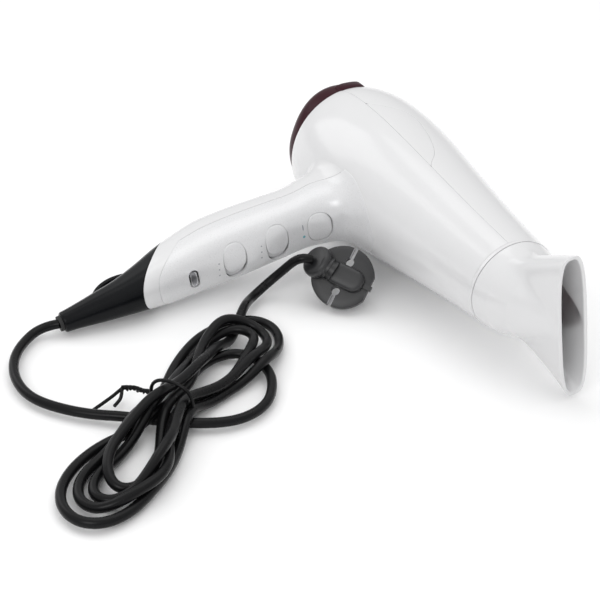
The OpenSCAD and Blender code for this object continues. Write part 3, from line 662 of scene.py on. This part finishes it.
# distance down the handle, then its front, back, side and squareness
grip = np.array([
    [55, 20.2, 20.5, 19.5, 2.6], [66, 17.4, 17.7, 18, 2.8], [84, 17.2, 18.9, 18.3, 2.8], [106, 17.2, 20.6, 18.7, 2.8],
    [128, 17.2, 20.4, 18.4, 2.8], [142, 17.5, 17.7, 17.2, 2.7], [157, 18.3, 13.3, 15.7, 2.6],
    [173, 18.6, 7.6, 13.1, 2.4], [188, 17.9, 3.5, 10.7, 2.2], [200, 16.7, 1.7, 9.2, 2.1], [219, 14.1, -0.9, 6.6, 2],
    [225, 13.5, -1.5, 6, 2]])
# where each line down the handle meets the barrel: angle round the handle, place along the barrel, degrees from below
foot = np.array([[0, 101, 0], [20, 98.5, 10], [45, 89, 26], [70, 74, 37], [90, 63, 38.5], [110, 50, 38],
                 [135, 36, 32], [160, 27, 17], [180, 24, 0]])


def gripPoint(d, a, off):
    # point of the handle's skin in the handle frame, a in degrees from the front towards the upper side
    front, back, side, n = np.moveaxis(through(grip[:, 0], grip[:, 1:], np.clip(d, 55, 225)), -1, 0)
    c, s = np.cos(np.radians(a)), np.sin(np.radians(a))
    x = (front - back) / 2 + ((front + back) / 2 - off) * squared(c, 2 / n)
    z = (side - off) * squared(s, 2 / n)
    return np.stack([x, -d + 0 * x, z], -1)


def neckPoint(w, a, off):
    # w 0 at the ring where the neck starts, 1 where it runs out on the barrel
    ring = gripPoint(np.full(a.shape, handle["neck"]), a, off)
    below = gripPoint(np.full(a.shape, handle["neck"] + 1.0), a, off)
    start, heading = onHandle(ring), onHandle(ring) - onHandle(below)
    turn = (a + 180) % 360 - 180
    x, rim = np.moveaxis(through(foot[:, 0], foot[:, 1:], np.abs(turn)), -1, 0)
    rim = np.radians(rim) * np.sign(turn)
    r = barrelRadius(x) - off - 0.06
    end = np.stack([x, -r * np.cos(rim), r * np.sin(rim)], -1)
    rise = barrelRadius(x + 0.5) - barrelRadius(x - 0.5)
    normal = np.stack([-rise, -np.cos(rim), np.sin(rim)], -1)
    normal /= np.linalg.norm(normal, axis=-1, keepdims=True)
    away = end - start
    reach = np.linalg.norm(away, axis=-1, keepdims=True)
    flat = away - (away * normal).sum(-1, keepdims=True) * normal
    flat /= np.linalg.norm(flat, axis=-1, keepdims=True)
    w = np.asarray(w)[..., None]
    return bezier(start, start + heading * 0.45 * reach, end - flat * 0.45 * reach, end, w)


def slanted(base, a):
    # distance down at which the slanted line through base crosses each line down the handle
    d = np.full(np.shape(a), float(base))
    for _ in range(12):
        d = base + slope * gripPoint(d, a, 0 * d)[..., 0]
    return d


def panelEnd(a):
    # the panel ends before the band, its lower corners rounded
    d = slanted(handle["seam"] - handle["band"], a)
    here = gripPoint(d, a, 0 * d)
    edge = np.abs(gripPoint(d, 90 + 0 * d, 0 * d)[..., 2])
    u = np.clip(edge - np.abs(here[..., 2]), 0, 8)
    u = np.where(np.abs(a) > 89.9, 0, u)
    return d - (8 - np.sqrt(64 - (8 - u) ** 2))


def skin(u, a, off, start, end):
    # u 0 on the barrel, 1 at the lower end
    neck = neckPoint(np.clip(1 - u / 0.3, 0, 1), a, off)
    d = start + (end - start) * np.clip((u - 0.3) / 0.7, 0, 1)
    return np.where((u < 0.3)[..., None], neck, onHandle(gripPoint(d, a, off)))


def panelSurface(u, v, off):
    a = -90 + 180 * v
    return skin(u, a, off - 0.12, handle["neck"], panelEnd(a))


def backSurface(u, v, off):
    # open at its edges only where the panel lies beside it
    corner = float(panelEnd(np.array([90.0]))[0])
    g = panelEdge["gap"] / 60
    last = slanted(handle["seam"], 90 + 180 * v)
    d = handle["neck"] + (last - handle["neck"]) * np.clip((u - 0.3) / 0.7, 0, 1)
    shut = (d > corner + 0.2) & (u > 0.3)
    a = np.where(shut, 90 + 180 * (v - g) / (1 - 2 * g), 90 + 180 * v)
    return skin(u, a, np.where(shut & (off < 1) & (u < 0.995), 0, off), handle["neck"], last)


def bandSurface(u, v, off):
    a = -90 + 180 * v
    first = panelEnd(a)
    return onHandle(gripPoint(first + (slanted(handle["seam"], a) - first) * u, a, off))


controls = {"cool": 60.0, "heat": 88.5, "speed": 117.0, "badge": 145.0, "long": 15.0, "across": 19.0,
            "radius": 14.0, "swing": 18.0, "squareness": 0.8, "slot": (8.0, 30.0)}
sway = controls["radius"] * math.sin(math.radians(controls["swing"]))


def capOutline(w, long, across):
    return (squared(np.cos(w), controls["squareness"]) * long / 2,
            squared(np.sin(w), controls["squareness"]) * across / 2)


def ovalCutter(name, down, long, across):
    # rounded slot through the front of the handle
    w = np.linspace(0, 2 * np.pi, 72, endpoint=False)
    y, z = capOutline(w, long, across)
    rings = np.stack([np.stack([np.full(72, x), y - down, z], -1) for x in controls["slot"]])
    points, faces = gridPart(rings, False, True)
    faces += [list(range(72)), list(range(143, 71, -1))]
    return plainMesh(name, lay(onHandle(points)), faces)


def makeHandle():
    points, faces = panelSolid(panelSurface, 120, 90, 130, 62, handle["wall"])
    panel = addMesh("gripPanel", lay(points), faces, "pearl_panel", "housing")
    cutWith(panel, [ovalCutter(name, controls[name], controls["long"] + 0.5, controls["across"] + room)
                    for name, room in (("cool", 0.5), ("heat", 0.6 + sway), ("speed", 0.6 + sway))])
    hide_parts("grip_panel")
    back = panelSolid(backSurface, 120, 80, 150, 60, handle["wall"])
    band = panelSolid(bandSurface, 24, 90, 12, 62, handle["wall"], roundSides=False)
    white = joined([back, band])
    addMesh("handleShell", lay(white[0]), white[1], "white_gloss", "housing")
    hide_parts("lower_shell")


makeHandle()
print("handle made")


sleeve = {"wall": 2.4, "edge": 0.4, "end": 1.2, "loop": (5.0, -184.0), "out": 18.4, "thick": 1.6}


def makeSleeve():
    a = np.linspace(0, 360, 120, endpoint=False)
    first = slanted(handle["seam"], a) + 0.15
    edge, end, none = sleeve["edge"], sleeve["end"], 0 * a
    last = handle["reach"] - end
    rows = [gripPoint(first + 8, a, none + sleeve["wall"]), gripPoint(first, a, none + sleeve["wall"])]
    rows += [gripPoint(first + edge * (1 - math.cos(t)), a, none + edge * (1 - math.sin(t))) for t in edgeTurn]
    rows += [gripPoint(first + edge + (last - first - edge) * t, a, none) for t in np.linspace(0, 1, 70)[1:]]
    rows += [gripPoint(last + end * math.sin(t), a, none + end * (1 - math.cos(t))) for t in edgeTurn[1:]]
    rows += [gripPoint(none + handle["reach"] - up, a, none + deep) for up, deep in ((0, 2.2), (0.4, 2.5), (12, 2.5))]
    points, faces = gridPart(np.stack(rows), False, True)
    body = addMesh("endSleeve", lay(onHandle(points)), faces, "black_gloss", "housing")
    w = np.radians(np.linspace(96, 264, 60))
    cx, cy = sleeve["loop"]
    path = np.stack([cx + sleeve["out"] * np.cos(w), cy + sleeve["out"] * np.sin(w), 0 * w], -1)
    points, faces = tube(path, sleeve["thick"], 20)
    addMesh("hangLoop", lay(onHandle(points)), faces, "black_gloss", "housing")
    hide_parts("end_sleeve")


makeSleeve()
print("sleeve made")


def skinFront(d, z):
    # how far forward the front of the handle is there
    front, back, side, n = np.moveaxis(through(grip[:, 0], grip[:, 1:], np.clip(d, 55, 225)), -1, 0)
    return (front - back) / 2 + (front + back) / 2 * (1 - np.minimum(np.abs(z) / side, 0.99) ** n) ** (1 / n) + 0.12


def domed(down, shift, skirt, flush):
    # rounded cap following the handle's front; its skirt fills the rest of the slot below the panel
    w = np.linspace(0, 2 * np.pi, 96, endpoint=False)
    shapeY, shapeZ = capOutline(w, controls["long"], controls["across"])
    low = skirt * np.maximum(0, -np.sin(w))
    rows = []
    for share, height, wider in [(t, 0.55 - 0.45 * t ** 2, 0) for t in np.linspace(0.02, 0.93, 16)] + [
            (0.96, 0.08, 0), (0.985, -0.1, 0), (1.0, -0.4, 0), (1.0, -2.1, 0), (1.01, -2.25, 1), (1.01, -3.6, 1)]:
        y, z = shapeY * share, shapeZ * share + shift - low * wider
        d = down - y
        rows.append(np.stack([skinFront(d, z) + height + flush, -d, z], -1))
    points, faces = gridPart(np.stack(rows), False, True)
    return lay(onHandle(points)), faces + [list(range(96))]


def onSkin(down, side, proud):
    # point on the front of the panel at that distance down and to the side
    a = np.linspace(-80, 80, 400)
    line = gripPoint(np.full(400, float(down)), a, np.zeros(400))
    return np.array([np.interp(side, line[:, 2], line[:, 0]) + 0.12 + proud, -down, side])


def mark(name, down, side, long, across, material, lift=0.05):
    # thin raised oval on the panel
    w = np.linspace(0, 2 * np.pi, 32, endpoint=False)
    rows = [[onSkin(down + long / 2 * s * math.cos(t), side + across / 2 * s * math.sin(t), up) for t in w]
            for s, up in ((0.05, lift), (0.6, lift), (0.9, lift * 0.9), (1.0, lift * 0.5), (1.02, -0.1))]
    points, faces = gridPart(np.array(rows), False, True)
    faces += [list(range(32))]
    addMesh(name, lay(onHandle(points)), faces, "black_parts", "housing", material)


def makeControls():
    for name, node, down, shift in (("speedCap", "speed_cap", "speed", sway / 2),
                                    ("heatCap", "heat_cap", "heat", sway / 2), ("coolCap", "cool_button", "cool", 0.0)):
        points, faces = domed(controls[down], shift, sway if shift else 0.0, 0.0 if shift else 0.15)
        cap = addMesh(name, points, faces, "pearl_panel", node)
        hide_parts(node)
    for down in (controls["speed"], controls["heat"]):
        for k, side in enumerate((-5.5, -1.5, 2.5)):
            mark("dot%d%d" % (down, k), down + 11.5 - 0.4 * k, side, 1.0, 1.0, inkGrey)
    mark("coolStroke", controls["cool"] + 10.5, 3.2, 0.8, 4.2, inkGrey)
    mark("coolDot", controls["cool"] + 10.5, -3.4, 1.8, 1.8, inkBlue)
    mark("badgeFace", controls["badge"], 0, 3.4, 9.4, badgeGrey, 0.6)


makeControls()
print("controls made")


nozzle = {"from": 189.8, "to": 241.0, "wall": 2.2, "bore": 22.56, "boreTo": 201.6, "edge": 0.4, "rim": 0.9}


def nozzlePoint(x, a, off):
    # a round socket running into a flat fan
    cone = np.interp(x, [189.8, 200, 212, 225, 236, 241], [27.2, 25.4, 21.8, 15.6, 9.6, 7.0]) - off
    wide, thin, n = 46.4 - 0.53 * (241 - x) - off, 9.2 - off, 3.3
    flat = (np.abs(np.cos(a) / thin) ** n + np.abs(np.sin(a) / wide) ** n) ** (-1 / n)
    r = (cone ** 9 + flat ** 9) ** (1 / 9)
    rise = 4.0 * smooth((x - 192) / 45)
    return np.stack([x + 0 * a, r * np.cos(a) + rise, r * np.sin(a)], -1)


def makeNozzle():
    a = np.linspace(0, 2 * np.pi, 240, endpoint=False)
    first, last, edge, rim = nozzle["from"], nozzle["to"], nozzle["edge"], nozzle["rim"]
    rows = [nozzlePoint(first + edge * (1 - math.cos(t)), a, edge * (1 - math.sin(t))) for t in edgeTurn]
    rows += [nozzlePoint(x, a, 0) for x in np.linspace(first + edge, last - rim, 80)[1:]]
    rows += [nozzlePoint(last - rim + rim * math.sin(t), a, nozzle["wall"] / 2 * (1 - math.cos(t)))
             for t in np.linspace(0, math.pi, 9)[1:]]
    rows += [nozzlePoint(x, a, nozzle["wall"]) for x in np.linspace(last - 1.2, nozzle["boreTo"] + 1, 50)]
    for x in (nozzle["boreTo"], nozzle["from"] + 0.6, nozzle["from"]):
        rows.append(np.stack([x + 0 * a, nozzle["bore"] * np.cos(a), nozzle["bore"] * np.sin(a)], -1))
    points, faces = gridPart(np.stack(rows), True, True)
    piece = addMesh("nozzleShell", lay(points), faces, "white_gloss", "nozzle", sharp=50)
    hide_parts("nozzle")


makeNozzle()
print("nozzle made")


plug = {"at": (-10.0, 31.0), "spin": -18.0, "lean": 48.0, "turn": 52.0, "radius": 19.0}


def onPlug(points):
    # plug's frame to the shared one: pins along -z, the lead towards -x
    p = np.asarray(points, float)
    x, y, z = p[..., 0], p[..., 1], p[..., 2]
    q, l, t = (math.radians(plug[k]) for k in ("spin", "lean", "turn"))
    x, y = x * math.cos(q) - y * math.sin(q), x * math.sin(q) + y * math.cos(q)
    y, z = y * math.cos(l) - z * math.sin(l), y * math.sin(l) + z * math.cos(l)
    x, y = x * math.cos(t) - y * math.sin(t), x * math.sin(t) + y * math.cos(t)
    at = plug["at"]
    return np.stack([x + at[0], y + at[1], z + plug["radius"] * math.sin(l) + 0.6], -1) * mm


def turnedZ(profile, sides=120):
    w = np.linspace(0, 2 * np.pi, sides, endpoint=False)
    r, z = np.asarray(profile, float).T
    return gridPart(np.stack([r[:, None] * np.cos(w), r[:, None] * np.sin(w),
                              np.broadcast_to(z[:, None], (len(z), sides))], -1), False, True)


def stadium(length, half, z, centre):
    w = np.linspace(0, 2 * np.pi, 96, endpoint=False)
    straight = length / 2 - half
    x = half * np.cos(w) + np.sign(np.cos(w)) * straight * np.minimum(1, np.abs(np.cos(w)) * 8) + centre
    return np.stack([x, half * np.sin(w), np.full(96, z)], -1)


def makePlug():
    disc = turnedZ([(0.01, 0), (18.2, 0), (18.8, 0.3), (19, 0.9), (19, 4.2), (18.8, 4.8), (18.2, 5.1), (14, 5.5),
                    (0.01, 5.6)])
    faces = disc[1] + [list(range(120)), [len(disc[0]) - 1 - k for k in range(120)]]
    base = addMesh("plugBase", onPlug(disc[0]), faces, "plug_black", "housing")
    cutters = []
    for side in (-1, 1):
        hole = turnedZ([(2.6, -1), (2.6, 9)], 40)
        at = hole[0] + np.array([0, side * 9.5, 0])
        cutters.append(plainMesh("cutHole", onPlug(at), hole[1] + [list(range(40)), list(range(79, 39, -1))]))
        low, high = sorted((side * 9.5, side * 21))
        points, faces = block((-1.3, low, -1), (1.3, high, 9))
        cutters.append(plainMesh("cutSlot", onPlug(points), faces))
    points, faces = block((17.2, -20, -1), (21, 20, 9))
    cutters.append(plainMesh("cutFlat", onPlug(points), faces))
    cutWith(base, cutters)
    # raised body in the middle, then the ribbed neck and the round bell round the lead
    rib = block((12.5, -1.5, 4.6), (19.0, 1.5, 7.4))
    edging = addMesh("plugRib", onPlug(rib[0]), rib[1], "plug_black", "housing")
    rows = [stadium(24 - i, 7 - i / 2, z, 2) for i, z in ((0.4, 4.8), (0, 5.4), (0, 8.4), (0.5, 9.4), (1.4, 10.1),
                                                         (3, 10.6), (6, 10.9), (10, 11.0))]
    points, faces = gridPart(np.stack(rows), False, True)
    faces += [list(range(96)), [len(points) - 1 - k for k in range(96)]]
    raised = addMesh("plugBody", onPlug(points), faces, "plug_black", "housing")
    neck = np.array([(-5, 0, 8), (-6.5, 0.2, 8.2), (-8, 0.4, 8.4), (-9.5, 0.6, 8.6), (-11, 0.8, 8.8), (-12.5, 0.9, 9)])
    points, faces = tube(np.repeat(neck, 2, axis=0) + np.linspace(0, 0.9, 12)[:, None] * np.array([[-0.8, 0, 0]]),
                         [6, 6.6, 6.6, 5.7, 5.7, 6.8, 6.8, 5.8, 5.8, 7, 7.2, 7.6], 48)
    ribs = addMesh("plugNeck", onPlug(points), faces, "plug_black", "housing")
    heading = np.array([-0.62, 0.05, 0.78])
    heading /= np.linalg.norm(heading)
    line = [np.array([-16.4, 1, 8.6]) + heading * t for t in (-3.6, -3.3, -2.4, -1.2, 0, 1.4, 2.6, 3.4, 3.8, 3.9)]
    points, faces = tube(line, [7.2, 8.4, 9.2, 9.7, 9.8, 9.7, 9.2, 8.4, 7.0, 4.0], 64, up=(0, 1, 0))
    bell = addMesh("plugBell", onPlug(points), faces, "plug_black", "housing")
    strips = []
    for side in (-1, 1):
        for x in (-1.3, 1.0):
            low, high = sorted((side * 12.0, side * 18.4))
            strips.append(block((x, low, 0.4), (x + 0.3, high, 4.4)))
    points, faces = joined(strips)
    clips = addMesh("earthStrips", onPlug(points), faces, "bronze", "housing", finish["steel"])
    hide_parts("earth_clips")
    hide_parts("plug_base")
    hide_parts("plug_boot")
    return [base, raised, ribs, bell, clips, edging]


plugPieces = makePlug()
print("plug made")


def makeTie():
    along = np.array([*lead["along"], 0.0])
    acrossWay = np.array([-along[1], along[0], 0.0])
    near = np.linalg.norm(leadPath[:, :2] - np.array(lead["tie"]), axis=1) < 9
    local = (leadPath[near] - np.array([*lead["tie"], 0])) @ acrossWay
    wide = (local.min() + local.max()) / 2, (local.max() - local.min()) / 2 + 4.4
    top = leadPath[near][:, 2].max() + 4.4
    centre = np.array([*lead["tie"], 0]) + acrossWay * wide[0]
    w = np.linspace(-0.30, 2 * np.pi - 0.55, 90)
    shape = 2 / 2.4
    side = squared(np.cos(w), shape) * wide[1]
    up = squared(np.sin(w), shape) * (top - 1.2) / 2 + (top + 1.2) / 2
    loop = centre + side[:, None] * -acrossWay + up[:, None] * np.array([0, 0, 1])
    loop = loop + along * (0.5 * np.sin(w)[:, None])
    route = evenly([loop[-1], (45, -115, 9), (41, -118, 8.5), (36, -121, 8), (31, -126, 6.5)], 0.6)
    far = [evenly([route[-1], *ends], 1.5) for ends in (((33, -133, 4), (38, -146, 2)), ((36, -129, 4), (40, -134, 3)))]
    lines = []
    for k in range(2):
        t = np.arange(len(route)) * 0.9 + k * math.pi
        apart = 0.95 * np.minimum(1, np.arange(len(route)) / 6)[:, None]
        twisted = route + (np.cos(t)[:, None] * acrossWay + np.sin(t)[:, None] * np.array([0, 0, 1])) * apart
        lines.append(np.concatenate([loop[:-1] if k == 0 else loop[:1], twisted[1:-1], far[k]]))
    pieces = []
    for k, line in enumerate(lines):
        points, faces = tube(evenly(line, 0.9), 1.0, 10, up=(0.3, 0.2, 0.9))
        pieces.append(addMesh("wireTie%d" % k, np.asarray(points) * mm, faces, "cord_black", "housing"))
    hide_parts("twist_tie")
    return pieces


tiePieces = makeTie()
leadPath[0] * mm


# finishes of the pieces kept from the CAD model
slots = {part["node"]: part["material_slot"] for part in frame["record"]["subparts"]}
for name, piece in frame["nodes"].items():
    piece.data.materials.clear()
    piece.data.materials.append(outletRed if name in ("outlet_neck", "outlet_grille") else finish[slots[name]])
    piece.data.shade_smooth()
    piece.data.set_sharp_from_angle(angle=math.radians(30))


studio = {"floorHalf": 6.0, "floorAt": -0.0018, "sky": (1, 1, 1), "horizon": (0.60, 0.60, 0.61), "strength": 0.95}


def makeFloor():
    across = np.linspace(-studio["floorHalf"], studio["floorHalf"], 40)
    mesh = bpy.data.meshes.new("floor")
    mesh.from_pydata([(x, y, studio["floorAt"]) for x in across for y in across], [], gridFaces(40, 40))
    s = Shade(bpy.data.materials.new("paper"))
    cloud = s.noise(6.0, 3.0, 0.5)
    fibre = s.noise(600.0, 3.0, 0.6)
    s.set(Base_Color=s.mixColour(cloud, (0.97, 0.97, 0.97), (0.985, 0.985, 0.985)), Roughness=0.9,
          Specular_IOR_Level=0.1, Normal=s.bump(fibre, 0.1, 0.00005))
    mesh.materials.append(s.owner)
    floor = bpy.data.objects.new("floor", mesh)
    bpy.context.scene.collection.objects.link(floor)


def areaLight(name, at, target, size, power):
    data = bpy.data.lights.new(name, "AREA")
    data.shape, data.size, data.size_y = "RECTANGLE", size[0], size[1]
    data.energy = power
    lamp = bpy.data.objects.new(name, data)
    bpy.context.scene.collection.objects.link(lamp)
    direction = Vector(target) - Vector(at)
    lamp.matrix_world = Matrix.Translation(at) @ direction.to_track_quat("-Z", "Y").to_matrix().to_4x4()


def makeWorld():
    # paler overhead than at the horizon
    world = bpy.data.worlds.new("studio")
    bpy.context.scene.world = world
    s = Shade(world, "Background")
    height = s.node("ShaderNodeSeparateXYZ", {}, {0: s.node("ShaderNodeTexCoord", {}, {}, "Generated")}, "Z")
    stops = [(0.0, studio["horizon"]), (0.9, studio["sky"])]
    s.set(Color=s.node("ShaderNodeValToRGB", {"stops": stops}, {0: height}), Strength=studio["strength"])


makeFloor()
makeWorld()
areaLight("overhead", (-0.15, 0.15, 1.0), (0, 0, 0), (0.9, 0.7), 2.0)
areaLight("left", (-0.9, -0.5, 0.7), (0, 0, 0), (0.6, 0.8), 1.8)
areaLight("front", (0.7, -0.8, 0.7), (0, 0, 0.03), (0.5, 0.5), 3.0)
bpy.context.scene.view_settings.view_transform = "Standard"
print("floor and lights in place")
